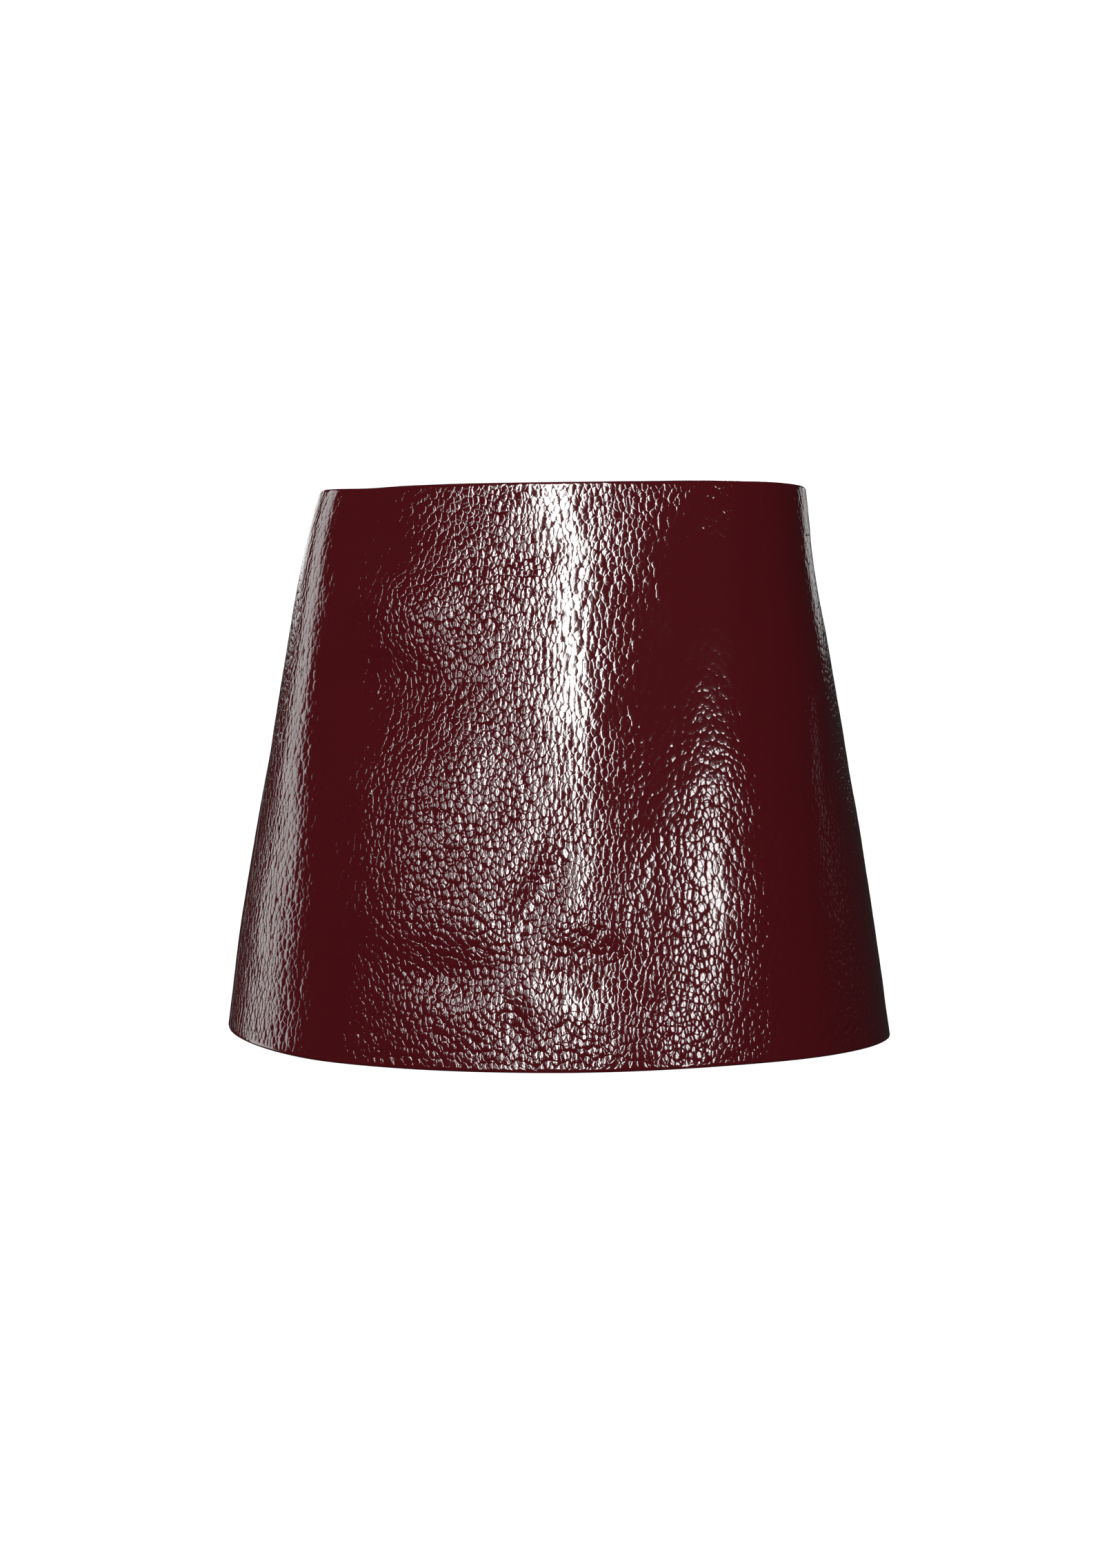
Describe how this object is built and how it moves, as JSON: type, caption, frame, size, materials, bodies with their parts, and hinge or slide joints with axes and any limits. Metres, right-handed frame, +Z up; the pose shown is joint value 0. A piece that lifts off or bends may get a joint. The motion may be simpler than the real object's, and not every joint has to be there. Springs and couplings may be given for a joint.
{
  "type": "leather skirt",
  "caption": "Low-rise A-line mini skirt in glossy crinkled patent leather, filled out as worn, with a concealed back zip and a hinged pull tab.",
  "frame": {"origin": "centre of the waist opening, level with the top edge, where the wearer holds the skirt", "axes": "+Z up along the wearer, -Y out of the front panel, +X towards the right of a viewer who faces the front"},
  "size_m": [0.4, 0.2846, 0.3387],
  "materials": {
    "patent_leather": "high-gloss burgundy patent coat over tumbled, crinkled grain; plain matt inside",
    "zip_tape": "dark burgundy woven tape with a fine coil",
    "zip_metal": null
  },
  "bodies": {
    "skirt": {"front_panel": "patent_leather", "back_panel_left": "patent_leather", "back_panel_right": "patent_leather", "zip_tape_left": "zip_tape", "zip_tape_right": "zip_tape", "zip_slider": "zip_metal"},
    "zip_pull": {"zip_pull_tab": "zip_metal"}
  },
  "joints": [
    {"name": "pull_tab_hinge", "type": "hinge", "parent": "skirt", "child": "zip_pull", "pos_m": [-0.01292, 0.09785, -0.00941], "axis": [1, 0.0026, 0], "range_deg": [0, 160]}
  ]
}
